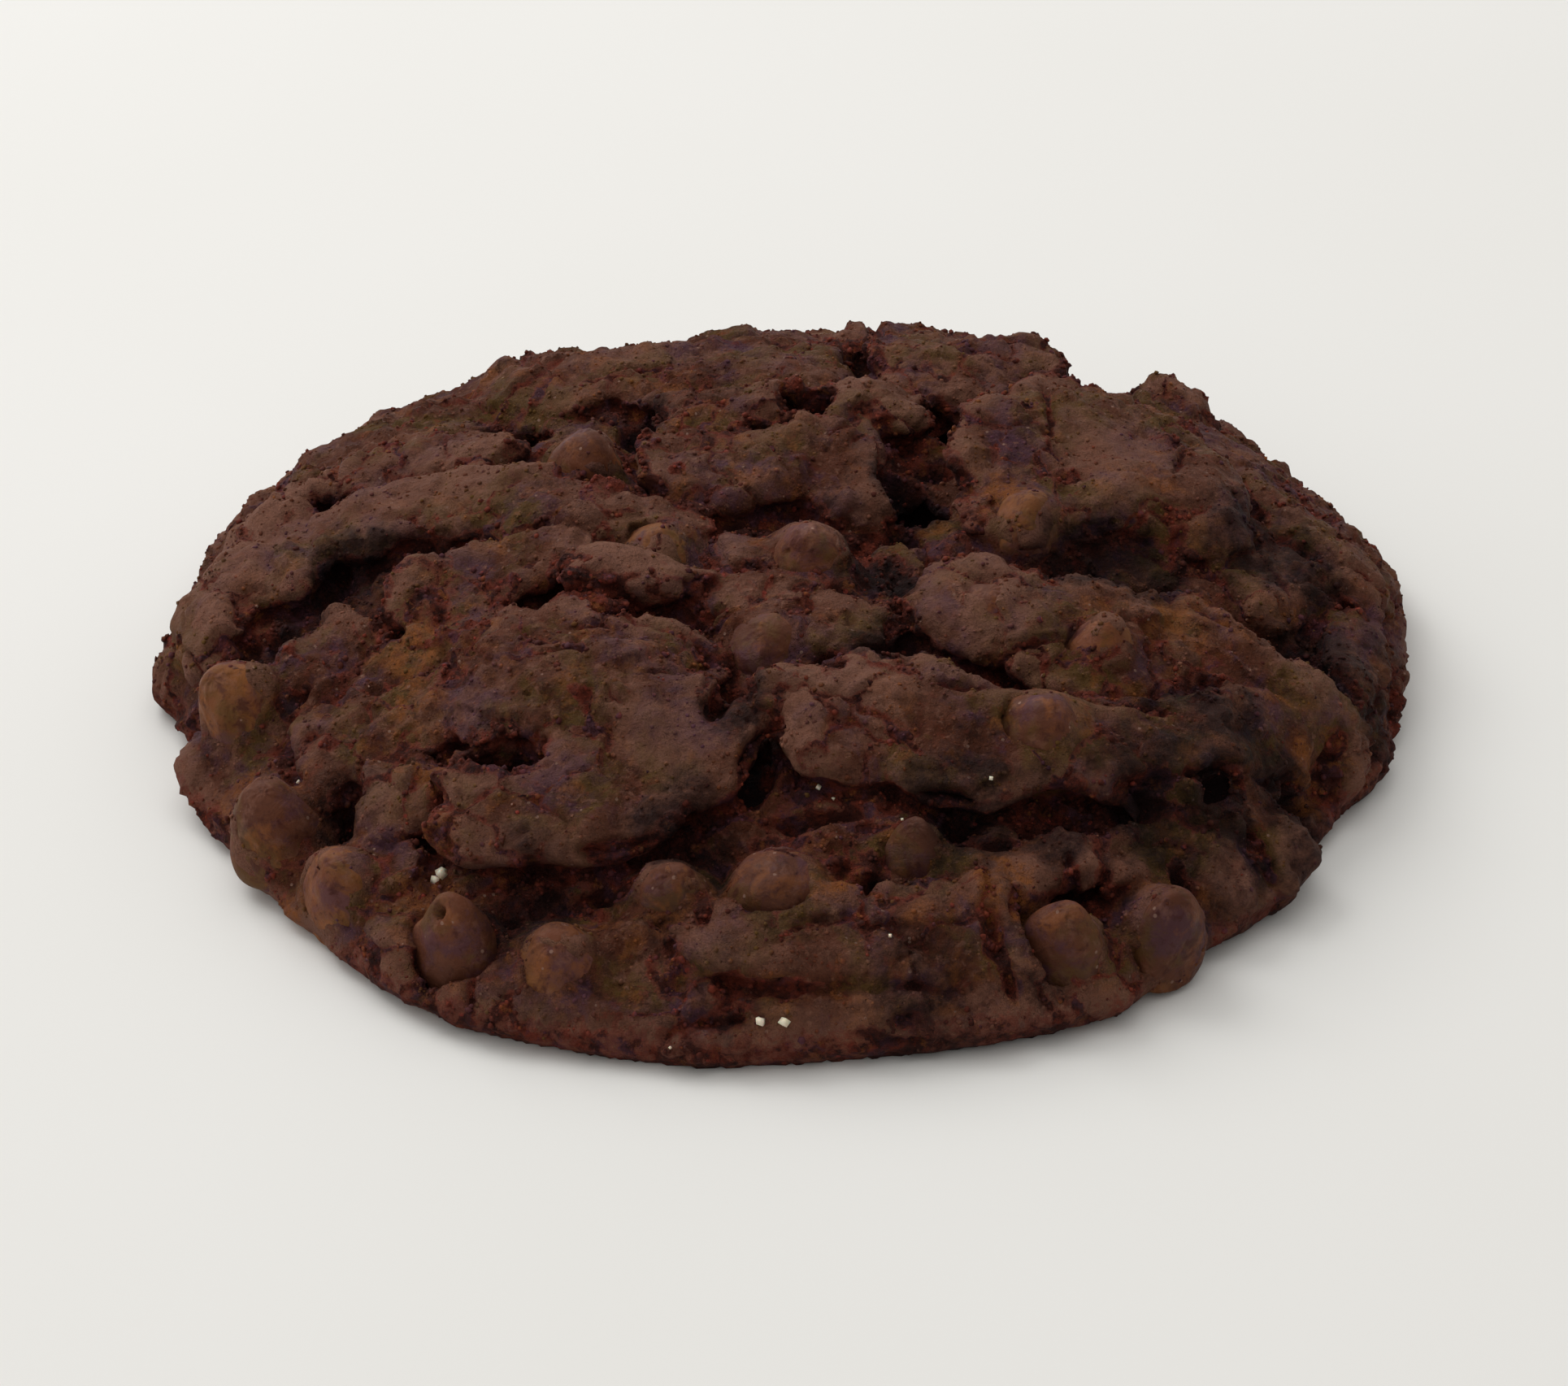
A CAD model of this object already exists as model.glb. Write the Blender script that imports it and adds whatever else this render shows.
import itertools
import math
import random

import bmesh
import bpy
import numpy as np
from mathutils import Matrix, Vector, bvhtree


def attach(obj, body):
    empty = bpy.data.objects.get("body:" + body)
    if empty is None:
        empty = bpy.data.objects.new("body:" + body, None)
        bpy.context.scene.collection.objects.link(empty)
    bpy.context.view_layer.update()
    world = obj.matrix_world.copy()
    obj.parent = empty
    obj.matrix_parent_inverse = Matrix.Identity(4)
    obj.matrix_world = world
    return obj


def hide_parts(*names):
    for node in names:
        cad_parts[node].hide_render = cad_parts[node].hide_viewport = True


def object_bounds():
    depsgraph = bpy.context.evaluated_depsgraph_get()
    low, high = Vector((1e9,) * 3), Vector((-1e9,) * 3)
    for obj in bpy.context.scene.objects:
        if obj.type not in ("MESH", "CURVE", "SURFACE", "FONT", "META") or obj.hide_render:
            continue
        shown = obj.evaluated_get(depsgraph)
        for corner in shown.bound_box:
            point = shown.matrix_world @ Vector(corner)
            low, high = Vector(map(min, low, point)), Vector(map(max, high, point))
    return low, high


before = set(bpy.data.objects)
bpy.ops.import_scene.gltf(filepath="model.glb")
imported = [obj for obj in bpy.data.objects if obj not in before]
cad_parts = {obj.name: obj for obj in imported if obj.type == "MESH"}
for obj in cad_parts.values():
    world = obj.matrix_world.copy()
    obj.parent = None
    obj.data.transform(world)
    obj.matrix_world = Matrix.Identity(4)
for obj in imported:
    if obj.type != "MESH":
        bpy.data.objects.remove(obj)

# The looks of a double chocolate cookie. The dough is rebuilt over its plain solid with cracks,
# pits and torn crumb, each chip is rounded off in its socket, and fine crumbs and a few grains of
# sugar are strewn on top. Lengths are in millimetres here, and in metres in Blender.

MM = 0.001
WELD = 0.001  # corners this close are one
CAD_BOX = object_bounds()

# Camera, fitted to the outline of the cookie in the photograph.
CAMERA_ELEVATION = 33.0
CAMERA_DISTANCE = 400.0
CAMERA_TARGET = (0.0, 0.0, 1.1)
PHOTO_WIDTH, PHOTO_HEIGHT = 1929, 1705
FOCAL_PIXELS = 6440.0
SENSOR_WIDTH = 36.0

# Light, in metres and watts: a room brighter towards its window, and two soft lamps, each with its
# place, width and power.
WINDOW_SIDE = (-0.60, 0.60, 0.50)
ROOM_GLOW = (0.09, 0.95)  # away from the window, and towards it
ROOM_COLOUR = (1.0, 0.99, 0.965)
LIGHTS = (("window", (-0.38, 0.36, 0.50), 0.45, 1.9), ("ceiling", (-0.05, 0.10, 0.80), 0.70, 0.7))

# The dough's mesh.
VOXEL = 0.35
FLAT_BELOW = 0.5 * VOXEL  # points this low belong to the flat underside
SMOOTHING_ROUNDS = 4
NORMAL_ROUNDS, MEAN_NORMAL_ROUNDS = 2, 60
SKIN_ROUNDS, REAR_ROUNDS = 24, 60  # melt the skin over the chips, and more at the hidden rim
ENVELOPE_ROUNDS = 260  # rounds of averaging that turn the cookie into its mean shape
UNDERSIDE_SHARE = 0.10  # of the underside's faces that are kept
DOUGH_TRIANGLES = 190000
FOOT = 0.9  # relief fades out over this height above the flat underside

# Where the photograph's outline lies off the solid's: centre x and y, radius, and how far it moves.
RESHAPES = (
    (31.0, -34.0, 11.0, (-0.6, 1.1, 0.0)), (39.5, -22.5, 8.0, (-1.0, 1.4, 0.0)),
    (10.0, -47.0, 16.0, (0.0, 1.2, 0.0)), (-31.8, -37.0, 3.0, (0.8, 1.2, 0.0)),
    (-47.0, 0.5, 5.0, (-0.8, 0.4, 0.0)), (-47.5, -6.0, 2.6, (1.4, 0.6, 0.0)),
    (11.0, 36.0, 7.0, (0.0, 0.0, -0.6)), (22.0, 37.0, 6.0, (0.0, 0.0, -1.6)),
)

# Marks that the photograph shows in the crust: centre x and y, half length, half width, turn in
# degrees, and how far each sinks below the surface (or rises above it, where negative).
MARKS = (
    # holes and slits at the back
    (-21.5, 18.3, 2.8, 1.0, 4, 1.6), (-11.0, 16.5, 2.2, 2.4, 0, 1.5), (5.8, 27.5, 1.1, 2.8, 0, 1.4),
    (7.3, 36.0, 0.7, 5.5, 4, 1.2), (1.8, 16.8, 2.4, 1.2, 0, 1.2), (12.6, 17.5, 2.0, 2.5, 0, 1.5),
    (25.6, 31.5, 3.5, 6.0, -8, 2.6), (27.0, 38.5, 3.4, 3.4, 0, 1.4), (21.8, 6.0, 1.4, 0.8, 0, 0.8),
    (20.5, 14.5, 0.45, 5.5, 2, 0.9), (-3.0, 2.5, 1.4, 0.6, 0, 1.0), (-10.2, 3.4, 1.8, 1.2, 0, 1.1),
    (-26, 0.4, 4.2, 0.7, -6, 1.2), (-33, -0.8, 3.2, 3.4, 0, 0.5), (-36.5, -5.5, 2.6, 1.6, 0, 1.2),
    # the channel down the middle, from the back to the front ledge
    (11.5, 12.0, 2.2, 1.6, 20, 1.6), (9.2, 7.8, 2.2, 3.2, 0, 2.6), (9.0, 1.8, 1.5, 2.6, 0, 1.7),
    (7.2, -4.6, 2.6, 4.2, 10, 1.8), (8.4, -13.0, 1.4, 2.6, 0, 1.5), (8.0, -17.5, 1.6, 1.2, 0, 1.5),
    # the valley right of it
    (21.0, -4.4, 4.0, 1.3, 4, 1.8), (27.5, -3.6, 4.4, 1.9, -4, 2.5),
    (34.8, -5.6, 4.0, 1.9, -16, 2.1), (40.6, -9.5, 3.4, 1.8, -32, 1.7),
    (-36, -12.5, 1.5, 1.2, 0, 1.4),
    # holes and cracks in the middle
    (-19.0, -5.5, 0.8, 0.8, 0, 0.9), (-14.0, -15.0, 2.0, 0.4, 0, 0.8),
    (-5.6, -16.4, 1.8, 1.2, 0, 1.3), (1.5, -9.0, 1.2, 1.0, 0, 1.3), (2.5, -19.0, 1.4, 0.9, 0, 1.4),
    (-4.2, -21.5, 1.1, 3.4, -24, 1.8), (-1.8, -26.6, 1.1, 3.0, -28, 1.8),
    (13.0, -21.5, 3.2, 0.5, 10, 0.9), (25.0, -20.5, 3.8, 0.8, 0, 1.0),
    (26.5, -13.5, 0.6, 0.6, 0, 0.8), (31.0, -15.0, 0.7, 0.6, 0, 0.8),
    (-20.4, -24.6, 3.4, 1.5, 0, 0.4), (-32.2, -23.5, 1.8, 1.7, 0, 0.5),
    (-7.6, -10.8, 4.6, 0.8, 3, 1.2),
    # shadows under the ledges in front
    (2.6, -30.0, 3.6, 0.9, 0, 1.4), (10.8, -30.6, 3.4, 0.9, 4, 1.5),
    (14.2, -31.8, 3.2, 0.9, 0, 1.5), (19.5, -30.2, 3.2, 0.9, 14, 1.6),
    (25.4, -27.4, 3.4, 0.9, 27, 1.6), (31.2, -24.4, 3.4, 0.9, 30, 1.6),
    (36.6, -20.4, 3.2, 0.9, 42, 1.5), (40.4, -15.8, 2.6, 0.9, 56, 1.2),
    (-11.8, -34.6, 3.6, 1.0, 12, 1.4), (-20.0, -36.4, 2.2, 0.9, 0, 1.2),
    (-4.6, -45.6, 2.4, 0.6, 0, 1.0), (-28.5, -14.5, 1.8, 0.8, 0, 0.7),
    (22.5, -37.4, 0.7, 3.0, 16, 1.3), (14.8, -40.2, 0.8, 3.2, 20, 1.4),
    # gaps between the lumps along the front right
    (20.4, -34.6, 0.8, 2.4, 12, 1.1), (28.6, -32.0, 0.8, 2.6, 24, 1.1),
    (34.4, -27.6, 0.8, 2.4, 34, 1.0), (39.6, -22.0, 0.8, 2.4, 46, 0.9),
    (6.4, -35.0, 0.8, 2.6, -20, 1.1), (-5.6, -38.6, 0.6, 2.4, 0, 0.9),
    # thin cracks across the plates
    (-2.0, 19.4, 5.0, 0.35, 2, 0.9), (6.0, 24.2, 4.2, 0.3, -6, 0.8),
    (-12.0, 24.5, 4.0, 0.3, 8, 0.8), (-2.6, 31.0, 5.0, 0.3, -4, 0.7),
    (17.0, 28.8, 4.0, 0.3, -10, 0.8), (-30.5, 9.6, 5.0, 0.3, 4, 0.7),
    (30.5, 11.0, 0.3, 4.5, -16, 0.7), (33.0, -9.0, 4.0, 0.35, -24, 0.8),
    (17.5, -15.5, 3.6, 0.35, 12, 0.8), (-17.0, -17.8, 4.2, 0.3, 4, 0.7),
    (-8.5, -20.2, 2.6, 0.3, 20, 0.6), (4.6, -40.0, 5.0, 0.3, 3, 0.5),
    # rounded swells on the rim and over the broad chips
    (-46.0, -15.0, 4.0, 6.0, 0, -0.6), (-39.5, 10.5, 4.0, 3.0, 0, -1.0),
    (-42.0, 3.0, 3.0, 5.0, 0, -0.8), (14.5, -9.0, 4.2, 3.2, 0, -0.6),
    (-10.5, -5.5, 5.0, 2.4, 8, -0.5), (15.6, -35.4, 3.0, 2.4, 0, -0.8),
    (24.4, -33.0, 3.0, 2.2, 0, -0.7), (31.6, -29.6, 2.4, 2.4, 0, -0.7),
    (37.0, -24.6, 2.4, 2.4, 0, -0.7),
)

# Where the crust is smooth, melted down at the hidden rim, pale and dusty, orange, or dark: centre
# x and y, radius, and strength.
SMOOTH_SPOTS = (
    (-8.0, -25.0, 5.5, 0.9), (-10.5, -6.6, 4.2, 0.8), (26.0, 11.0, 9.0, 0.5),
    (-27.0, 8.0, 7.0, 0.4), (0.0, -44.0, 7.0, 0.3), (26.0, -22.0, 6.0, 0.4), (-41.0, 6.0, 4.0, 0.6),
    (-30.0, 33.0, 8.0, 0.5), (-12.0, 40.0, 7.0, 0.5), (38.0, 24.0, 6.0, 0.5),
)
MELTED_SPOTS = (
    (16.0, 45.0, 9.5, 1.0), (35.0, 40.0, 8.5, 1.0), (0.0, 47.0, 8.0, 0.8), (-18.0, 44.0, 9.0, 0.6),
    (11.0, 39.5, 5.5, 1.0), (19.0, 39.5, 5.5, 1.0), (34.0, 38.0, 6.0, 1.0), (8.0, 41.0, 5.0, 1.0),
)
DUSTY_SPOTS = (
    (-27.0, 8.0, 8.0, 1.0), (-38.0, 9.0, 7.0, 1.0), (-30.0, 16.0, 5.0, 0.6),
    (-12.0, 28.0, 7.0, 0.6), (2.0, 34.0, 8.0, 0.5), (25.0, 10.0, 7.0, 0.9), (5.0, -22.9, 3.0, 0.9),
    (14.0, 33.0, 5.0, 0.6), (-12.0, -2.5, 6.0, 0.6), (-10.5, -7.0, 4.0, 0.9),
    (5.2, -21.5, 6.0, 1.0), (16.0, -13.0, 4.0, 0.6), (0.0, 22.0, 6.0, 0.4), (-8.6, -25.9, 5.0, 0.8),
    (-25.0, -9.0, 5.0, 0.4), (36.0, 20.0, 4.0, 0.5),
)
WARM_SPOTS = (
    (-27.0, -11.5, 3.6, 0.8), (-27.0, -17.8, 2.8, 0.8), (-36.0, -30.2, 2.4, 1.0),
    (16.9, 3.7, 3.2, 0.7), (38.1, -17.9, 1.8, 1.0), (3.7, -36.3, 2.6, 0.9), (15.1, -36.0, 3.4, 0.9),
    (-25.2, -24.9, 3.2, 0.8), (29.1, -9.0, 6.5, 0.6), (-38.7, -18.6, 3.0, 0.7),
    (26.9, 6.0, 4.5, 0.4), (-25.5, -33.0, 3.0, 0.6), (27.2, -33.7, 3.0, 0.7),
    (-8.2, -37.7, 3.0, 0.7),
)
DUSK_SPOTS = (
    (-32.7, -0.5, 5.0, 0.9), (-37.3, -5.0, 4.0, 0.8), (-11.0, 17.0, 3.6, 0.8),
    (-21.8, 17.9, 3.0, 0.7), (9.4, 6.0, 4.0, 1.0), (7.2, -4.5, 4.2, 0.9), (8.0, -15.0, 3.6, 0.9),
    (25.0, -3.0, 8.0, 1.0), (36.9, 4.0, 7.0, 0.9), (39.8, -6.0, 6.0, 1.0), (43.2, -9.0, 5.0, 0.8),
    (-3.0, -23.0, 3.4, 0.9), (-20.6, -24.6, 3.8, 0.4), (-6.5, -32.5, 5.0, 0.8),
    (12.9, -31.0, 6.0, 0.8), (-18.4, -37.0, 4.5, 0.8), (28.0, -28.0, 9.0, 0.7),
    (-4.7, -45.3, 6.0, 0.35), (-31.7, -24.7, 3.6, 0.8), (30.0, -19.5, 6.0, 0.7),
    (13.5, -32.2, 4.0, 0.9), (19.3, -31.0, 4.0, 1.0), (25.2, -28.4, 4.0, 1.0),
    (31.2, -25.4, 4.0, 1.0), (36.8, -21.4, 4.5, 1.0), (31.5, -17.5, 4.5, 0.8),
    (38.0, -23.0, 7.0, 0.7), (10.0, -43.5, 6.5, 0.6), (-0.9, -38.2, 4.5, 0.5),
    (18.5, -40.5, 5.0, 0.45), (27.9, -37.6, 5.0, 0.4), (8.4, -34.8, 3.0, 0.5),
    (-8.6, -38.2, 3.0, 0.45), (-23.5, -40.5, 4.0, 0.25), (-16.5, -42.5, 4.0, 0.25),
    (46.0, -2.0, 4.0, 0.5), (36.0, -30.0, 6.0, 0.6), (31.5, -19.6, 4.5, 0.9),
)

# Relief. Waves are wavelength and height, lumps are spacing and height, pits are spacing, inner and
# outer radius and the share of cells that have one, and all is lowered a little so that the cookie
# keeps its outline.
CRUST_WAVES = ((6.0, 0.32), (2.8, 0.20), (1.2, 0.12))
CRUST_LUMPS = ((2.3, 0.34), (1.15, 0.20))
REAR_WAVES, REAR_FROM = ((10.0, 0.9),), (37.0, 43.0)  # break up the hidden rim from here back
FLAKE_SPACING, FLAKE_STEP, FLAKE_GAP, FLAKE_GAP_DEPTH = 5.0, 0.55, 0.30, 0.85
CRUMB_WAVES = ((3.2, 0.40), (1.7, 0.32), (0.95, 0.22))
CRUMB_LUMPS = ((1.9, 0.62), (1.0, 0.40))
CRUST_PITS, CRUST_PIT_DEPTH = (2.3, 0.135, 0.45, 0.25), 0.55
CRUST_LOWERED, CRUMB_LOWERED = 0.22, 0.50
SINK_MORE = 0.45  # what lies low is sunk further by this share
TORN_WAVES = ((4.0, 0.30), (1.6, 0.22))  # make the border between crust and crumb ragged
TORN_SIDE = 0.62  # of the low side is torn crumb
MARK_WOBBLE = (2.4, 0.45)  # makes the marks ragged: wavelength and amount
UNDERCUT_RELIEF = 0.35  # share of the relief that is left where the dough overhangs
UNSEEN_TINT = 0.75  # hollows that the photograph hides lose this share of their dark tint

# Chips. Each shows as a bare patch, at this pixel of the photograph and with this radius, and the
# dough climbs over the rest of it. Those at the back, which the photograph hides, face outward.
CHIP_LEVELS = 3  # of rounding off
CHIP_SWELL = 0.42  # fills the gap that the solids keep between a chip and its socket
CHIP_FLATTENED = 0.65  # where a chip faces outward
CHIP_WAVES = ((4.0, 0.32), (1.7, 0.11))
CHIP_PITS, CHIP_PIT_DEPTH = (1.9, 0.1, 0.4, 0.25), 0.14
CHIP_LOWEST = 0.2  # keeps the chips of the rim off the underside
CHIP_REACH = 2.5  # the dough is shaped by a chip up to this far outside it
CHIP_EDGE, SKIN_EDGE = (0.2, 1.4), (0.4, 2.2)  # where a chip's cover and its melted skin fade out
SKIN_MELTED = 0.75  # of the step between a chip and the dough
CHIP_PATCHES = {
    "chip_back_left": (690, 546, 2.6), "chip_mid_left": (785, 650, 1.5),
    "chip_centre": (982, 665, 2.8), "chip_mid": (928, 792, 2.6), "chip_ledge": (1268, 874, 2.6),
    "chip_terrace": (1325, 775, 1.3), "chip_terrace_inner": (1205, 718, 1.2),
    "chip_broad_plate": (1242, 610, 1.2), "chip_left": (272, 872, 2.6),
    "chip_left_low": (330, 1000, 3.1), "chip_front_left": (388, 1105, 2.3),
    "chip_front_a": (532, 1168, 4.4), "chip_front_b": (668, 1190, 1.8),
    "chip_front_c": (812, 1100, 1.4), "chip_front_d": (945, 1085, 3.4),
    "chip_front_e": (1112, 1045, 2.2), "chip_front_f": (1292, 1152, 3.6),
    "chip_front_right": (1450, 1162, 3.2),
}
HIDDEN_PATCH_RADIUS = 3.4
PATCH_WAVES = ((2.6, 0.75), (1.2, 0.45), (0.7, 0.3))  # make the border of a patch ragged
PATCH_EDGE = (1.0, 0.5)  # a patch fades from this far inside its radius to this far outside
PATCH_DEPTH = 0.9  # the dough sinks this far below a bare patch
SKIN = 0.16  # of dough over the rest of a chip
OCHRE_CHIPS = (
    "chip_mid_left", "chip_terrace", "chip_broad_plate", "chip_front_left", "chip_front_b",
    "chip_left",
)
CHIP_HOLE = ("chip_front_a", (540, 1121), 0.62, 1.3)  # a bubble: node, pixel, radius, depth

CRUST_GRAINS, CRUST_GRAIN_RADII = 7000, (0.09, 0.23)
TORN_CRUMBS, TORN_CRUMB_RADII = 8500, (0.10, 0.32)
GRAIN_SPREAD, SUGAR_SPREAD = 0.28, 0.15  # the corners of a grain move in or out by up to this share
GRAINS_ABOVE = 0.8  # the height from which grains lie on the dough

# Grains of sugar, at the pixels of the photograph where each shows, with the radius of each.
SUGAR = (
    (543, 1076, 0.38), (537, 1082, 0.32), (368, 963, 0.16), (935, 1258, 0.30), (965, 1258, 0.30),
    (1007, 970, 0.20), (1025, 983, 0.13), (1219, 957, 0.16), (1095, 1152, 0.13), (1110, 1009, 0.11),
    (824, 1289, 0.11), (250, 1052, 0.11),
)


# ---------------------------------------------------------------- meshes as arrays


def read_points(mesh):
    """A mesh's points in millimetres."""
    points = np.empty(len(mesh.vertices) * 3, dtype=np.float32)
    mesh.vertices.foreach_get("co", points)
    return points.reshape(-1, 3).astype(float) / MM


def write_points(mesh, points):
    """Puts points in millimetres into a mesh."""
    mesh.vertices.foreach_set("co", (points * MM).astype(np.float32).ravel())
    mesh.update()


def read_normals(mesh):
    """A mesh's normals at its points."""
    normals = np.empty(len(mesh.vertices) * 3, dtype=np.float32)
    mesh.vertex_normals.foreach_get("vector", normals)
    return normals.reshape(-1, 3).astype(float)


def read_edges(mesh):
    """The two points of each edge."""
    ends = np.empty(len(mesh.edges) * 2, dtype=np.int32)
    mesh.edges.foreach_get("vertices", ends)
    return ends.reshape(-1, 2)


def averaged(values, ends, rounds):
    """Values at the points of a mesh, each averaged with its neighbours' in several rounds."""
    count = len(values)
    first, second = ends[:, 0], ends[:, 1]
    neighbours = np.bincount(first, minlength=count) + np.bincount(second, minlength=count)
    values = values.reshape(count, -1).copy()
    for _ in range(rounds):
        for column in range(values.shape[1]):
            own = values[:, column]
            total = np.bincount(first, own[second], count) + np.bincount(second, own[first], count)
            values[:, column] = 0.5 * own + 0.5 * total / neighbours
    return values


def set_attribute(mesh, name, values):
    """Stores one number for each point of a mesh, for a material to read."""
    layer = mesh.attributes.new(name, "FLOAT", "POINT")
    layer.data.foreach_set("value", values.astype(np.float32))


def inside_box(points):
    """Points held inside the solids' own box."""
    low, high = (np.array(corner) / MM for corner in CAD_BOX)
    return np.clip(points, low, high)


# ---------------------------------------------------------------- noise
# A seed picks one pattern of each kind, and each use has a seed of its own.


def hashed(cell, seed):
    """A fixed random number from 0 to 1 for each cell of a grid."""
    mixed = cell[..., 0] * 73856093 ^ cell[..., 1] * 19349663 ^ cell[..., 2] * 83492791
    mixed = (mixed + seed * 2654435761) & 0xFFFFFFFF
    mixed = ((mixed ^ mixed >> 16) * 0x45D9F3B) & 0xFFFFFFFF
    mixed = ((mixed ^ mixed >> 16) * 0x45D9F3B) & 0xFFFFFFFF
    return (mixed ^ mixed >> 16) / 0xFFFFFFFF


def waves(points, wavelength, seed):
    """Smooth noise from -1 to 1."""
    scaled = points / wavelength * 1.6 + seed * 7.31
    cell = np.floor(scaled).astype(np.int64)
    inner = scaled - cell
    inner = inner * inner * (3 - 2 * inner)
    total = np.zeros(len(points))
    for corner in range(8):
        step = np.array([corner & 1, corner >> 1 & 1, corner >> 2 & 1])
        share = np.where(step, inner, 1 - inner).prod(axis=1)
        total += share * (hashed(cell + step, seed) * 2 - 1)
    return total


def cells(points, spacing, seed):
    """Distance to the nearest and the next of many scattered seeds, and the nearest's number."""
    scaled = points / spacing
    cell = np.floor(scaled).astype(np.int64)
    nearest = np.full(len(points), 9.0)
    second = np.full(len(points), 9.0)
    number = np.zeros(len(points))
    for shift in np.ndindex(3, 3, 3):
        other = cell + np.array(shift) - 1
        seat = np.stack([hashed(other, seed + axis) for axis in range(3)], axis=1)
        away = np.linalg.norm(other + seat - scaled, axis=1)
        closer = away < nearest
        second = np.where(closer, nearest, np.minimum(second, away))
        number = np.where(closer, hashed(other, seed + 5), number)
        nearest = np.where(closer, away, nearest)
    return nearest * spacing, second * spacing, number


def eased(values, low, high):
    """0 below low and 1 above high, with a smooth step between."""
    share = np.clip((values - low) / (high - low), 0, 1)
    return share * share * (3 - 2 * share)


# ---------------------------------------------------------------- the dough


def applied(obj):
    """Turns an object's modifiers into plain mesh."""
    graph = bpy.context.evaluated_depsgraph_get()
    mesh = bpy.data.meshes.new_from_object(obj.evaluated_get(graph), depsgraph=graph)
    obj.modifiers.clear()
    obj.data = mesh


def reshaped(points):
    """Points moved to the photograph's outline, with the flat underside kept flat."""
    moved = points.copy()
    lifted = eased(points[:, 2], 0.5, 8.0)
    for x, y, radius, (right, back, up) in RESHAPES:
        share = 1 - eased(np.hypot(points[:, 0] - x, points[:, 1] - y), 0.3 * radius, radius)
        moved += np.stack([right * share, back * share, up * share * lifted], axis=1)
    return moved


def copy_of(node, name):
    """A free copy of a CAD node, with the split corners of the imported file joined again."""
    obj = bpy.data.objects.new(name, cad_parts[node].data.copy())
    bpy.context.scene.collection.objects.link(obj)
    obj.data.materials.clear()
    shape = bmesh.new()
    shape.from_mesh(obj.data)
    bmesh.ops.remove_doubles(shape, verts=shape.verts, dist=WELD * MM)
    for edge in shape.edges:
        edge.smooth = True
    shape.to_mesh(obj.data)
    shape.free()
    write_points(obj.data, reshaped(read_points(obj.data)))
    return obj


def remeshed(obj, voxel):
    """An even mesh of small faces over an object."""
    step = obj.modifiers.new("remesh", "REMESH")
    step.mode = "VOXEL"
    step.voxel_size = voxel * MM
    applied(obj)


def thin_underside(obj):
    """Merges most faces of the flat underside, which are about as many as its points."""
    group = obj.vertex_groups.new(name="underside")
    flat = np.flatnonzero(read_points(obj.data)[:, 2] < FLAT_BELOW)
    group.add(flat.tolist(), 1.0, "REPLACE")
    step = obj.modifiers.new("thin", "DECIMATE")
    step.vertex_group = "underside"
    step.ratio = 1 - (1 - UNDERSIDE_SHARE) * len(flat) / len(obj.data.polygons)
    applied(obj)


def thin_to(obj, triangles):
    """Merges the flattest faces until so many triangles are left."""
    step = obj.modifiers.new("thin", "DECIMATE")
    step.ratio = triangles / sum(len(face.vertices) - 2 for face in obj.data.polygons)
    applied(obj)


def mark_depths(points):
    """How far the named marks sink the surface at each point."""
    total = np.zeros(len(points))
    wavelength, amount = MARK_WOBBLE
    wobble = np.stack([waves(points, wavelength, seed) for seed in (31, 32)], axis=1) * amount
    for x, y, half_length, half_width, turn, depth in MARKS:
        spin = math.radians(turn)
        right = points[:, 0] + wobble[:, 0] - x
        back = points[:, 1] + wobble[:, 1] - y
        along = (right * math.cos(spin) + back * math.sin(spin)) / half_length
        across = (back * math.cos(spin) - right * math.sin(spin)) / half_width
        total += depth * (1 - eased(np.hypot(along, across), 0.45, 1.15))
    return total


def spotted(points, spots):
    """How strongly each point lies in one of several soft round spots."""
    ragged = 1 + 0.35 * waves(points, 3.0, 33)
    strongest = np.zeros(len(points))
    for x, y, radius, strength in spots:
        away = np.hypot(points[:, 0] - x, points[:, 1] - y) * ragged / radius
        strongest = np.maximum(strongest, strength * (1 - eased(away, 0.35, 1.1)))
    return strongest


def bent(points, wavelength, amount, seed):
    """Points moved about by smooth noise, so that what is laid over them is ragged."""
    shift = np.stack([waves(points, wavelength, seed + axis) for axis in range(3)], axis=1)
    return points + amount * shift


def lumps(points, sizes, seed):
    """The height of rounded lumps that meet in sharp creases."""
    height = np.zeros(len(points))
    for spacing, size in sizes:
        near, _, number = cells(points, spacing, seed)
        dome = 1 - np.clip(near / (0.65 * spacing), 0, 1) ** 2
        height += size * ((0.5 + number) * dome + 0.5 * number)
        seed += 10
    return height


def rolling(points, sizes, seed):
    """The height of smooth waves of several sizes."""
    return sum(
        size * waves(points, length, seed + step) for step, (length, size) in enumerate(sizes))


def pitted(points, pits, seed):
    """How deep each point lies in one of many small scattered pits, from 0 to 1."""
    spacing, inner, outer, share = pits
    near, _, number = cells(points, spacing, seed)
    return (1 - eased(near, inner, outer)) * (number < share)


def crust_relief(points):
    """The height of the crust: flakes at odd levels, lumps and pits. Also the gaps of the flakes."""
    smooth = 0.75 * spotted(points, SMOOTH_SPOTS)
    rough = 1 - smooth - 0.25 * eased(waves(points, 10.0, 34), -0.1, 0.5)
    near, second, level = cells(bent(points, 3.4, 1.3, 50), FLAKE_SPACING, 60)
    gaps = 1 - eased(second - near, 0, 2 * FLAKE_GAP)
    gaps *= eased(waves(points, 9.0, 70) + 0.5 * rough, 0.1, 0.6)
    height = (0.4 + 0.6 * rough) * rolling(points, CRUST_WAVES, 0)
    height += FLAKE_STEP * (level - 0.5) * rough
    height += rough * lumps(bent(points, 1.6, 0.4, 53), CRUST_LUMPS, 90)
    height -= CRUST_PIT_DEPTH * (pitted(points, CRUST_PITS, 40) * rough)
    return height - FLAKE_GAP_DEPTH * gaps - CRUST_LOWERED, gaps


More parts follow.
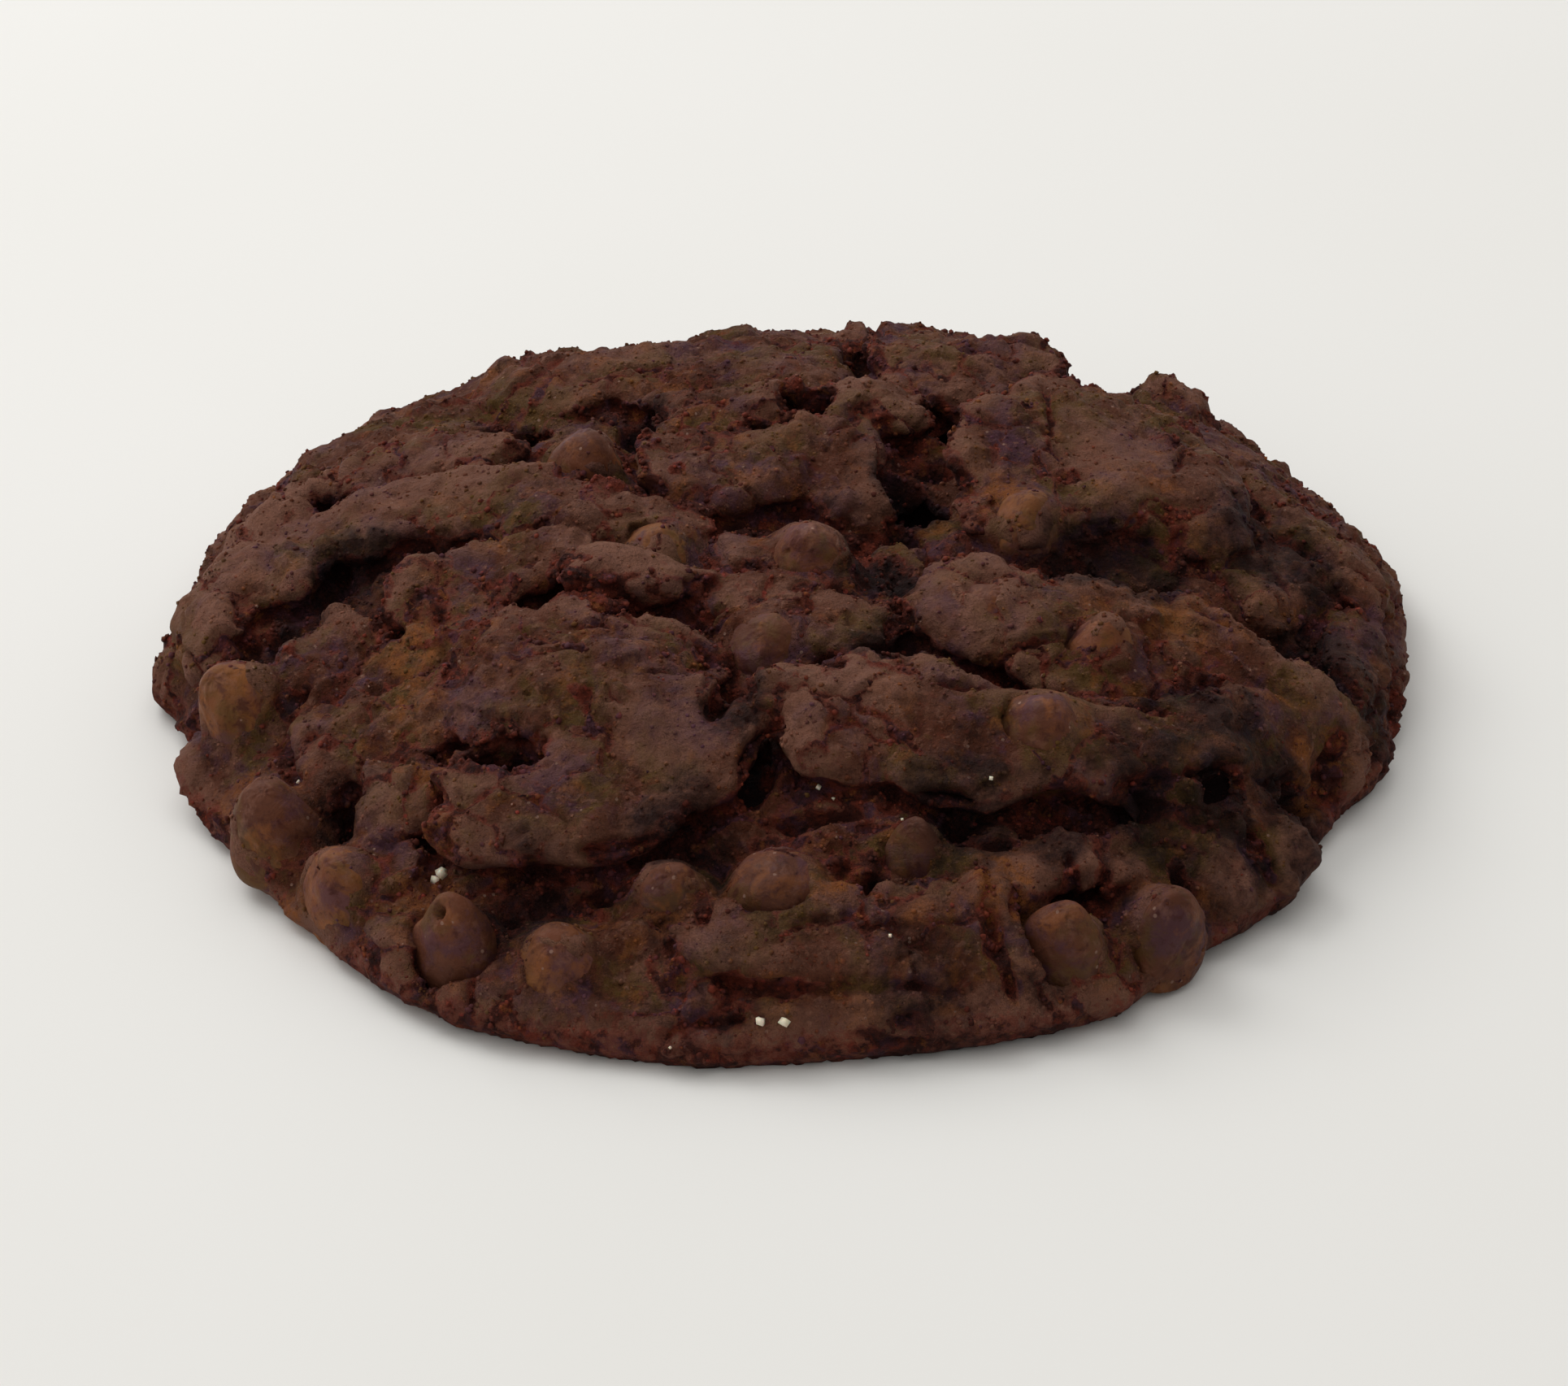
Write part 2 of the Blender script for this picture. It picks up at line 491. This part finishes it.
def crumb_relief(points):
    """The height of torn crumb: rounded grains over rough hollows."""
    grains = lumps(bent(points, 1.4, 0.3, 56), CRUMB_LUMPS, 20)
    return rolling(points, CRUMB_WAVES, 10) + grains - CRUMB_LOWERED


def blunted(points, ends):
    """Points with the thin spikes among them drawn in."""
    mean = averaged(points, ends, 2)
    spiky = eased(np.linalg.norm(points - mean, axis=1), 0.16, 0.32)
    return points + (mean - points) * spiky[:, None]


def chip_cover(points, chips):
    """How far each point lies outside the nearest chip, and how bare that is there, from 0 to 1."""
    outside = np.full(len(points), 9.0)
    bare = np.zeros(len(points))
    ragged = rolling(points, PATCH_WAVES, 35)
    for chip, patch, radius in chips:
        tree = tree_of([chip])
        shape = read_points(chip.data)
        middle = shape.mean(axis=0)
        reach = np.linalg.norm(shape - middle, axis=1).max() + CHIP_REACH
        near = np.flatnonzero(np.linalg.norm(points - middle, axis=1) < reach)
        for index in near:
            point = Vector(points[index] * MM)
            place, normal, _, away = tree.find_nearest(point)
            side = math.copysign(away / MM, (point - place).dot(normal))
            outside[index] = min(outside[index], side)
        from_patch = np.linalg.norm(points[near] - np.array(patch), axis=1) + ragged[near]
        covered = eased(from_patch, radius - PATCH_EDGE[0], radius + PATCH_EDGE[1])
        bare[near] = np.maximum(bare[near], 1 - covered)
    return outside, bare * (1 - eased(outside, 0.2, 0.7))


def joined_body(chips):
    """The cookie's own body and its chips in one even mesh."""
    obj = copy_of("cookie", "dough")
    shape = bmesh.new()
    for part in (obj, *(chip for chip, _, _ in chips)):
        shape.from_mesh(part.data)
    shape.to_mesh(obj.data)
    shape.free()
    remeshed(obj, VOXEL)
    thin_underside(obj)
    return obj


def softened(raw, ends, outside, on_chip, bare):
    """The body without the steps of its mesh, melted over the chips and along the hidden rim."""
    points = averaged(raw, ends, SMOOTHING_ROUNDS)
    melted = averaged(points, ends, SKIN_ROUNDS)
    over_chips = SKIN_MELTED * (1 - eased(outside, *SKIN_EDGE)) * (1 - bare)
    points += (melted - points) * over_chips[:, None]
    melted = averaged(melted, ends, REAR_ROUNDS)
    at_rear = spotted(raw, MELTED_SPOTS) * (1 - on_chip)
    points += (melted - points) * at_rear[:, None]
    points[:, 2] = np.where(raw[:, 2] < FLAT_BELOW, 0, points[:, 2])
    return points


def torn_share(points, normals, ends, sunk, on_chip):
    """How torn the dough is, from 0 to 1: where it lies low or steep, and along its low side."""
    steep = 1 - (normals * averaged(normals, ends, MEAN_NORMAL_ROUNDS)).sum(axis=1)
    ragged = rolling(points, TORN_WAVES, 80)
    low = eased(sunk + ragged, -0.05, 0.75)
    crumb = np.clip(low + 0.8 * eased(steep + 0.2 * ragged, 0.12, 0.36), 0, 1)
    low_side = eased(-points[:, 2], -4.5, -1.5)
    crumb = np.maximum(crumb, TORN_SIDE * low_side)
    crumb *= 1 - 0.85 * on_chip
    return crumb


def unseen(points, normals):
    """How surely the photograph hides each point: far behind, or turned away towards the back."""
    behind = eased(points[:, 1], 33.0, 37.0)
    turned_away = eased(points[:, 1], 20.0, 28.0) * eased(normals[:, 1], 0.1, 0.5)
    return np.maximum(behind, turned_away)


def build_dough(chips, material):
    """The dough with its skin over the chips, and its crust broken up over rough crumb."""
    obj = joined_body(chips)
    mesh = obj.data
    ends = read_edges(mesh)
    raw = read_points(mesh)
    outside, bare = chip_cover(raw, chips)
    on_chip = 1 - eased(outside, *CHIP_EDGE)
    points = softened(raw, ends, outside, on_chip, bare)
    write_points(mesh, points)
    normals = averaged(read_normals(mesh), ends, NORMAL_ROUNDS)
    normals /= np.linalg.norm(normals, axis=1)[:, None] + 1e-9

    envelope = averaged(points, ends, ENVELOPE_ROUNDS)
    sunk = ((envelope - points) * normals).sum(axis=1)
    marks = mark_depths(points)
    crust, gaps = crust_relief(points)
    torn = crumb_relief(points)
    crumb = torn_share(points, normals, ends, sunk, on_chip)
    crumb = np.clip(crumb + eased(marks, 0.25, 0.9) + 0.8 * gaps, 0, 1)
    height = crust * (1 - crumb) + torn * crumb - marks - SINK_MORE * np.clip(sunk, 0, 2)
    height += rolling(points, REAR_WAVES, 90) * eased(points[:, 1], *REAR_FROM)
    covered = SKIN + 0.5 * np.maximum(height, -0.15)
    height += (covered - height) * on_chip
    height += (-PATCH_DEPTH - height) * bare
    above_foot = eased(points[:, 2], 0.02, FOOT)
    facing_up = eased(normals[:, 2], -0.35, 0.1)
    height *= above_foot * (UNDERCUT_RELIEF + (1 - UNDERCUT_RELIEF) * facing_up)
    points = blunted(points + normals * height[:, None], ends)
    points[:, 2] = np.where(raw[:, 2] < FLAT_BELOW, 0, np.maximum(points[:, 2], 0))
    write_points(mesh, inside_box(points))

    shaded = (sunk + marks) * (1 - UNSEEN_TINT * unseen(points, normals))
    set_attribute(mesh, "crumb", crumb)
    set_attribute(mesh, "sunk", averaged(shaded, ends, 2)[:, 0])
    set_attribute(mesh, "dusty", spotted(points, DUSTY_SPOTS))
    set_attribute(mesh, "warm", spotted(points, WARM_SPOTS))
    set_attribute(mesh, "dusk", spotted(points, DUSK_SPOTS))
    thin_to(obj, DOUGH_TRIANGLES)
    dress(obj, material, ["cookie"])
    return obj


# ---------------------------------------------------------------- the chips


def bare_place(node, obj, middle):
    """The middle and radius of a chip's bare patch: as the photograph shows it, or else outward."""
    tree = tree_of([obj])
    if node in CHIP_PATCHES:
        *pixel, radius = CHIP_PATCHES[node]
        start, along = camera_ray(pixel)
        passed = start + along * (middle - start).dot(along)
        return tree.ray_cast(start, along)[0] or tree.find_nearest(passed)[0], radius
    outward = Vector((middle.x, middle.y, 0)).normalized() + Vector((0, 0, 0.5))
    return tree.find_nearest(middle + outward * 10 * MM)[0], HIDDEN_PATCH_RADIUS


def holed(obj, points, normals):
    """A chip's points with the bubble that the photograph shows in it."""
    _, pixel, radius, depth = CHIP_HOLE
    rim = tree_of([obj]).ray_cast(*camera_ray(pixel))[0]
    away = np.linalg.norm(points - np.array(rim) / MM, axis=1)
    return points - normals * (depth * (1 - eased(away, 0.55 * radius, radius)))[:, None]


def build_chip(node, material, seed):
    """One chip, rounded off, dented and swollen to sit tight in its socket. Also the middle and
    radius of its bare patch."""
    obj = copy_of(node, node + "_look")
    step = obj.modifiers.new("round", "SUBSURF")
    step.levels = CHIP_LEVELS
    step.render_levels = CHIP_LEVELS
    applied(obj)
    mesh = obj.data
    points = read_points(mesh)
    normals = read_normals(mesh)
    middle = Vector(points.mean(axis=0) * MM)
    place, radius = bare_place(node, obj, middle)
    outward = np.array((place - middle).normalized())
    swell = CHIP_SWELL - CHIP_FLATTENED * eased(normals @ outward, 0.2, 1.0)
    dents = rolling(points, CHIP_WAVES, seed) - CHIP_PIT_DEPTH * pitted(points, CHIP_PITS, seed + 2)
    points = points + normals * (swell + dents)[:, None]
    points[:, 2] = np.maximum(points[:, 2], CHIP_LOWEST)
    write_points(mesh, inside_box(points))
    if node == CHIP_HOLE[0]:
        points = holed(obj, points, normals)
        write_points(mesh, inside_box(points))
    set_attribute(mesh, "dusk", spotted(points, DUSK_SPOTS))
    dress(obj, material, [node])
    return obj, place / MM, radius


# ---------------------------------------------------------------- crumbs and sugar


def tree_of(objects):
    """A search tree over several objects, for finding their surface."""
    points, faces = [], []
    for obj in objects:
        start = len(points)
        points.extend(v.co for v in obj.data.vertices)
        faces.extend([start + i for i in p.vertices] for p in obj.data.polygons)
    return bvhtree.BVHTree.FromPolygons(points, faces)


def grain_mesh(name, seats, shape, chance, spread):
    """One mesh of many grains. Each is a turned copy of a shape, with every corner moved in or out
    by a share of up to the spread, and flattened along the normal of what it sits on."""
    shape_points, shape_faces = shape
    points, faces = [], []
    for centre, radius, normal, flattened in seats:
        start = len(points)
        turn = random_turn(chance)
        for corner in shape_points:
            local = turn @ corner * (radius * (1 + chance.uniform(-spread, spread)))
            points.append(centre + local - normal * (flattened * local.dot(normal)))
        faces.extend([start + i for i in face] for face in shape_faces)
    mesh = bpy.data.meshes.new(name)
    mesh.from_pydata(points, [], faces)
    obj = bpy.data.objects.new(name, mesh)
    bpy.context.scene.collection.objects.link(obj)
    return obj


def ball_shape():
    """The points and faces of a ball of twenty triangles."""
    golden = (1 + math.sqrt(5)) / 2
    corners = []
    for a in (-1, 1):
        for b in (-golden, golden):
            corners += [(0, a, b), (a, b, 0), (b, 0, a)]
    corners = [Vector(c).normalized() for c in corners]
    faces = []
    longest = 1.2  # the side of a triangle is 1.05, and the next corner is 1.7 away
    for i, j, k in itertools.combinations(range(len(corners)), 3):
        one, two, three = corners[i], corners[j], corners[k]
        if max((one - two).length, (two - three).length, (three - one).length) < longest:
            outward = (two - one).cross(three - one).dot(one) > 0
            faces.append((i, j, k) if outward else (i, k, j))
    return corners, faces


def cube_shape():
    """The points and faces of a cube, for a grain of sugar."""
    corners = [Vector((x, y, z)) for x in (-0.8, 0.8) for y in (-0.8, 0.8) for z in (-0.8, 0.8)]
    faces = [(0, 1, 3, 2), (4, 6, 7, 5), (0, 4, 5, 1), (2, 3, 7, 6), (0, 2, 6, 4), (1, 5, 7, 3)]
    return corners, faces


def random_turn(chance):
    """A rotation that is the same each run."""
    axis = Vector([chance.uniform(-1, 1) for _ in range(3)]).normalized()
    return Matrix.Rotation(chance.uniform(0, math.tau), 3, axis)


def build_grains(name, dough, odds, count, radii, material, seed):
    """Small lumps baked onto the dough, strewn by the odds of each of its points."""
    chance = random.Random(seed)
    points, normals = read_points(dough.data), read_normals(dough.data)
    odds = odds * (points[:, 2] > GRAINS_ABOVE) * (0.05 + eased(normals[:, 2], 0.0, 0.6))
    draws = np.random.default_rng(seed)
    order = draws.choice(len(points), count, replace=False, p=odds / odds.sum())
    seats = []
    for index in order:
        radius = radii[0] + (radii[1] - radii[0]) * chance.random() ** 2
        normal = Vector(normals[index])
        centre = Vector(points[index]) - normal * radius * 0.1
        seats.append((centre * MM, radius * MM, normal, chance.uniform(0.1, 0.4)))
    obj = grain_mesh(name, seats, ball_shape(), chance, GRAIN_SPREAD)
    points = inside_box(read_points(obj.data))
    write_points(obj.data, points)
    set_attribute(obj.data, "dusk", spotted(points, DUSK_SPOTS))
    dress(obj, material, [])


def camera_ray(pixel):
    """The start and direction of the line of sight through a pixel of the photograph."""
    pitch = math.radians(CAMERA_ELEVATION)
    forward = Vector((0, math.cos(pitch), -math.sin(pitch)))
    up = Vector((0, math.sin(pitch), math.cos(pitch)))
    start = Vector(CAMERA_TARGET) - forward * CAMERA_DISTANCE
    across = (pixel[0] - PHOTO_WIDTH / 2) / FOCAL_PIXELS
    down = (pixel[1] - PHOTO_HEIGHT / 2) / FOCAL_PIXELS
    return start * MM, (forward + Vector((1, 0, 0)) * across - up * down).normalized()


def build_sugar(objects, material):
    """The few grains of sugar that glint on the crust, each resting on what carries it."""
    chance = random.Random(3)
    tree = tree_of(objects)
    seats = []
    for *pixel, radius in SUGAR:
        place, normal, _, _ = tree.ray_cast(*camera_ray(pixel))
        if place is None:
            continue
        centre = place + normal * radius * 0.5 * MM
        seats.append((centre, radius * MM, normal, chance.uniform(0.05, 0.3)))
    obj = grain_mesh("sugar_grains", seats, cube_shape(), chance, SUGAR_SPREAD)
    dress(obj, material, [])


# ---------------------------------------------------------------- materials


class Nodes:
    """Short calls for building a material from nodes."""

    def __init__(self, name):
        self.material = bpy.data.materials.new(name)
        self.material.use_nodes = True
        self.tree = self.material.node_tree
        self.shader = self.tree.nodes["Principled BSDF"]
        self.place = self.add("ShaderNodeTexCoord").outputs["Object"]

    def add(self, kind, **settings):
        node = self.tree.nodes.new(kind)
        for key, value in settings.items():
            setattr(node, key, value)
        return node

    def link(self, source, target):
        self.tree.links.new(source, target)

    def noise(self, wavelength, detail=3.0, roughness=0.6, distortion=0.0):
        node = self.add("ShaderNodeTexNoise")
        self.link(self.place, node.inputs["Vector"])
        node.inputs["Scale"].default_value = 1 / (wavelength * MM)
        node.inputs["Detail"].default_value = detail
        node.inputs["Roughness"].default_value = roughness
        node.inputs["Distortion"].default_value = distortion
        return node.outputs["Fac"]

    def voronoi(self, spacing, output="Distance"):
        node = self.add("ShaderNodeTexVoronoi")
        self.link(self.place, node.inputs["Vector"])
        node.inputs["Scale"].default_value = 1 / (spacing * MM)
        return node.outputs[output]

    def flecks(self, spacing, radius, share):
        """Small spots in a share of the cells of a scattered pattern; the radius is in spacings."""
        spots = self.math("LESS_THAN", self.voronoi(spacing), radius)
        picked = self.add("ShaderNodeSeparateColor")
        self.link(self.voronoi(spacing, "Color"), picked.inputs["Color"])
        return self.math("MULTIPLY", spots, self.math("LESS_THAN", picked.outputs["Red"], share))

    def attribute(self, name):
        return self.add("ShaderNodeAttribute", attribute_name=name).outputs["Fac"]

    def greys(self, source, first, last, start=0.3):
        """From one grey to another as the source goes from the start to 0.7."""
        node = self.add("ShaderNodeValToRGB")
        stops = ((start, first), (0.7, last))
        for element, (position, grey) in zip(node.color_ramp.elements, stops):
            element.position = position
            element.color = (grey, grey, grey, 1)
        self.link(source, node.inputs["Fac"])
        return node.outputs["Color"]

    def span(self, source, low, high):
        node = self.add("ShaderNodeMapRange", clamp=True)
        self.link(source, node.inputs["Value"])
        node.inputs["From Min"].default_value = low
        node.inputs["From Max"].default_value = high
        return node.outputs["Result"]

    def mix(self, share, first, second, blend="MIX"):
        node = self.add("ShaderNodeMix", data_type="RGBA", blend_type=blend)
        for number, value in ((0, share), (6, first), (7, second)):  # the sockets for colours
            socket = node.inputs[number]
            if isinstance(value, (int, float)):
                socket.default_value = value
            elif isinstance(value, tuple):
                socket.default_value = (*value, 1)
            else:
                self.link(value, socket)
        return node.outputs[2]

    def math(self, operation, first, second):
        node = self.add("ShaderNodeMath", operation=operation)
        for socket, value in zip(node.inputs, (first, second)):
            if isinstance(value, (int, float)):
                socket.default_value = value
            else:
                self.link(value, socket)
        return node.outputs[0]

    def part(self, source, share):
        return self.math("MULTIPLY", source, share)

    def bump(self, height, distance, strength, after=None):
        node = self.add("ShaderNodeBump")
        node.inputs["Distance"].default_value = distance * MM
        node.inputs["Strength"].default_value = strength
        self.link(height, node.inputs["Height"])
        if after is not None:
            self.link(after, node.inputs["Normal"])
        return node.outputs["Normal"]

    def finish(self, colour, roughness, normal, specular):
        self.link(colour, self.shader.inputs["Base Color"])
        self.link(roughness, self.shader.inputs["Roughness"])
        self.link(normal, self.shader.inputs["Normal"])
        self.shader.inputs["Specular IOR Level"].default_value = specular
        return self.material


CRUST = (0.097, 0.0262, 0.0115)
CRUST_DUSTY = (0.232, 0.1010, 0.0650)
CRUST_DARK = (0.046, 0.0125, 0.0065)
CRUST_PURPLE = (0.076, 0.0275, 0.0440)
CRUST_OLIVE = (0.100, 0.0500, 0.0100)
CRUMB = (0.060, 0.0125, 0.0075)
CRUMB_RED = (0.170, 0.0290, 0.0145)
ORANGE = (0.250, 0.0780, 0.0180)
DUSK = (0.240, 0.225, 0.270)  # darkens what it is laid over
DEEP = (0.013, 0.004, 0.004)
FRINGE = (0.220, 0.050, 0.030)
FLECK_RED = (0.260, 0.040, 0.026)
FLECK_PALE = (0.300, 0.175, 0.130)
CHOCOLATE = (0.142, 0.0425, 0.0180)
CHOCOLATE_DARK = (0.084, 0.0255, 0.0125)
OCHRE = (0.174, 0.0630, 0.0165)
SUGAR_AMBER = (0.80, 0.66, 0.44)
SUGAR_WHITE = (0.92, 0.86, 0.72)
PAPER_DARK = (0.83, 0.82, 0.79)
PAPER_PALE = (0.86, 0.85, 0.83)


def patches(n, colour, layers):
    """A colour under layers of ragged patches: size, how rare, strength and colour of each."""
    for size, rare, strength, tone in layers:
        share = n.span(n.noise(size, 5, 0.65, 0.3), rare, rare + 0.10)
        colour = n.mix(n.part(share, strength), colour, tone)
    return colour


def crust_tones(n):
    """The crust's colour: brown, with dusty, purple, olive, orange and dark patches and flecks."""
    crust = patches(n, CRUST, (
        (8.0, 0.51, 0.65, CRUST_DUSTY), (5.2, 0.50, 0.90, CRUST_PURPLE),
        (6.1, 0.50, 0.90, CRUST_OLIVE), (3.3, 0.55, 0.60, ORANGE),
        (2.3, 0.54, 0.55, CRUST_DARK), (1.0, 0.54, 0.65, CRUST_DARK),
        (0.7, 0.56, 0.60, CRUST_DUSTY), (1.5, 0.58, 0.55, CRUMB_RED),
    ))
    return n.mix(n.part(n.flecks(0.62, 0.20, 0.06), 0.7), crust, FLECK_PALE)


def crumb_tones(n):
    """The colour inside the dough: dark, with redder crumbs and bright red flecks."""
    crumb = patches(n, CRUMB, (
        (1.9, 0.47, 0.80, CRUMB_RED), (2.9, 0.53, 0.70, CRUST_PURPLE), (0.8, 0.52, 0.70, DEEP),
        (1.3, 0.58, 0.60, ORANGE),
    ))
    return n.mix(n.part(n.flecks(0.75, 0.26, 0.10), 0.8), crumb, FLECK_RED)


def dusk_share(n):
    """How dark the dough is in its deep and shaded places, in ragged patches."""
    ragged = n.part(n.math("SUBTRACT", n.noise(2.4, 6, 0.72, 0.4), 0.5), 2.6)
    return n.span(n.math("ADD", n.attribute("dusk"), ragged), 0.20, 0.95)


def dough_material():
    """Matt crust with a dusty bloom, over darker and redder crumb in the cracks."""
    n = Nodes("baked_dough")
    ragged = n.part(n.math("SUBTRACT", n.noise(0.9, 4, 0.65), 0.5), 1.3)
    standing_out = n.span(n.attribute("sunk"), -0.15, -0.9)
    crust = n.mix(n.part(standing_out, 0.70), crust_tones(n), CRUST_DUSTY)
    dusty = n.span(n.math("ADD", n.attribute("dusty"), ragged), 0.1, 0.9)
    crust = n.mix(n.part(dusty, 0.6), crust, CRUST_DUSTY)
    torn = n.span(n.math("ADD", n.attribute("crumb"), ragged), 0.34, 0.66)
    colour = n.mix(torn, crust, crumb_tones(n))
    fringe = n.math("MULTIPLY", torn, n.math("SUBTRACT", 1.0, torn))
    colour = n.mix(n.part(fringe, 1.6), colour, FRINGE)
    crumbly = n.span(n.noise(1.6, 5, 0.75), 0.42, 0.58)
    warm = n.math("MULTIPLY", n.span(n.math("ADD", n.attribute("warm"), ragged), 0.2, 0.8), crumbly)
    colour = n.mix(n.part(warm, 0.9), colour, ORANGE)
    colour = n.mix(dusk_share(n), colour, DUSK, "MULTIPLY")
    colour = n.mix(n.span(n.attribute("sunk"), 0.8, 2.3), colour, DEEP)
    lift = n.bump(n.voronoi(0.34), 0.14, 0.5)
    lift = n.bump(n.noise(0.45, 4, 0.7), 0.36, 0.9, after=lift)
    lift = n.bump(n.noise(1.1, 6, 0.7), 0.85, 1.0, after=lift)
    rough = n.greys(n.noise(1.5, 2), 0.62, 0.88)
    return n.finish(colour, rough, lift, 0.14)


def grain_material(name, tones):
    """Small lumps in the tones of the crust or of the crumb."""
    n = Nodes(name)
    lift = n.bump(n.noise(0.25, 3), 0.10, 0.6)
    rough = n.greys(n.noise(0.6, 2), 0.65, 0.9)
    return n.finish(n.mix(dusk_share(n), tones(n), DUSK, "MULTIPLY"), rough, lift, 0.14)


def chocolate_material(name, base, dark):
    """Baked chocolate: smooth and nearly matt, with a dull bloom and dough smeared over it."""
    n = Nodes(name)
    colour = n.mix(n.span(n.noise(5.0, 3, 0.5), 0.36, 0.66), dark, base)
    colour = patches(n, colour, (
        (3.8, 0.50, 0.60, CRUST_PURPLE), (4.4, 0.51, 0.60, CRUST_OLIVE), (3.1, 0.54, 0.50, ORANGE),
        (1.6, 0.55, 0.35, CRUST_DUSTY), (1.3, 0.55, 0.75, CRUMB), (0.6, 0.56, 0.50, CRUST_DARK),
    ))
    colour = n.mix(n.part(n.flecks(0.70, 0.20, 0.08), 0.6), colour, FLECK_PALE)
    colour = n.mix(n.part(n.attribute("dusk"), 0.75), colour, DUSK, "MULTIPLY")
    lift = n.bump(n.noise(0.30, 3, 0.6), 0.06, 0.5)
    lift = n.bump(n.noise(1.3, 5, 0.65, 0.5), 0.30, 0.7, after=lift)
    rough = n.greys(n.noise(1.8, 3), 0.54, 0.80, start=0.35)
    return n.finish(colour, rough, lift, 0.18)


def sugar_material():
    """A grain of sugar, pale and slightly clear."""
    n = Nodes("sugar")
    colour = n.mix(n.noise(0.4, 2), SUGAR_AMBER, SUGAR_WHITE)
    lift = n.bump(n.noise(0.2, 2), 0.05, 0.4)
    rough = n.greys(n.noise(0.5, 2), 0.25, 0.45)
    n.shader.inputs["Subsurface Weight"].default_value = 0.3
    n.shader.inputs["Subsurface Scale"].default_value = 0.4 * MM
    return n.finish(colour, rough, lift, 0.5)


def dress(obj, material, nodes):
    """Gives a piece its material and ties it to the frame."""
    obj.data.materials.clear()
    obj.data.materials.append(material)
    obj.data.shade_smooth()
    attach(obj, "root")
    if nodes:
        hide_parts(*nodes)


# ---------------------------------------------------------------- the studio


def build_stage():
    """A plain pale floor, soft light from the window side, and the camera."""
    scene = bpy.context.scene
    bpy.ops.mesh.primitive_plane_add(size=4)
    floor = bpy.context.object
    floor.name = "floor"
    n = Nodes("paper_floor")
    colour = n.mix(n.noise(60, 2, 0.5), PAPER_DARK, PAPER_PALE)
    lift = n.bump(n.noise(1.2, 2), 0.03, 0.15)
    rough = n.greys(n.noise(30, 2), 0.8, 0.9)
    floor.data.materials.append(n.finish(colour, rough, lift, 0.2))

    world = bpy.data.worlds.new("studio")
    world.use_nodes = True
    sky = world.node_tree
    background = sky.nodes["Background"]
    background.inputs["Color"].default_value = (*ROOM_COLOUR, 1)
    towards = sky.nodes.new("ShaderNodeVectorMath")
    towards.operation = "DOT_PRODUCT"
    towards.inputs[1].default_value = Vector(WINDOW_SIDE).normalized()
    sky.links.new(sky.nodes.new("ShaderNodeTexCoord").outputs["Generated"], towards.inputs[0])
    glow = sky.nodes.new("ShaderNodeMapRange")
    glow.inputs["From Min"].default_value = -1
    glow.inputs["To Min"].default_value, glow.inputs["To Max"].default_value = ROOM_GLOW
    sky.links.new(towards.outputs["Value"], glow.inputs["Value"])
    sky.links.new(glow.outputs["Result"], background.inputs["Strength"])
    scene.world = world

    for name, place, size, power in LIGHTS:
        light = bpy.data.lights.new(name, "AREA")
        light.size = size
        light.energy = power
        lamp = bpy.data.objects.new(name, light)
        lamp.location = place
        lamp.rotation_euler = (-Vector(place)).to_track_quat("-Z", "Y").to_euler()
        scene.collection.objects.link(lamp)

    camera = bpy.data.cameras.new("camera")
    camera.sensor_width = SENSOR_WIDTH
    camera.lens = SENSOR_WIDTH * FOCAL_PIXELS / PHOTO_WIDTH
    eye = bpy.data.objects.new("camera", camera)
    start, _ = camera_ray((PHOTO_WIDTH / 2, PHOTO_HEIGHT / 2))
    eye.location = start
    eye.rotation_euler = (math.radians(90 - CAMERA_ELEVATION), 0, 0)
    scene.collection.objects.link(eye)
    scene.camera = eye
    scene.view_settings.view_transform = "Standard"


def main():
    chocolate = chocolate_material("baked_chocolate", CHOCOLATE, CHOCOLATE_DARK)
    ochre = chocolate_material("melted_chocolate", OCHRE, CHOCOLATE)
    chips = []
    for seed, node in enumerate(sorted(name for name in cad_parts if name.startswith("chip"))):
        chips.append(build_chip(node, ochre if node in OCHRE_CHIPS else chocolate, 100 + 7 * seed))
    dough = build_dough(chips, dough_material())
    torn = np.empty(len(dough.data.vertices), dtype=np.float32)
    dough.data.attributes["crumb"].data.foreach_get("value", torn)
    build_grains("crust_grains", dough, 1.05 - torn, CRUST_GRAINS, CRUST_GRAIN_RADII,
                 grain_material("crust_grain", crust_tones), 11)
    build_grains("torn_crumbs", dough, 0.02 + torn ** 2, TORN_CRUMBS, TORN_CRUMB_RADII,
                 grain_material("crumb_grain", crumb_tones), 12)
    build_sugar([dough, *(chip for chip, _, _ in chips)], sugar_material())
    build_stage()


main()
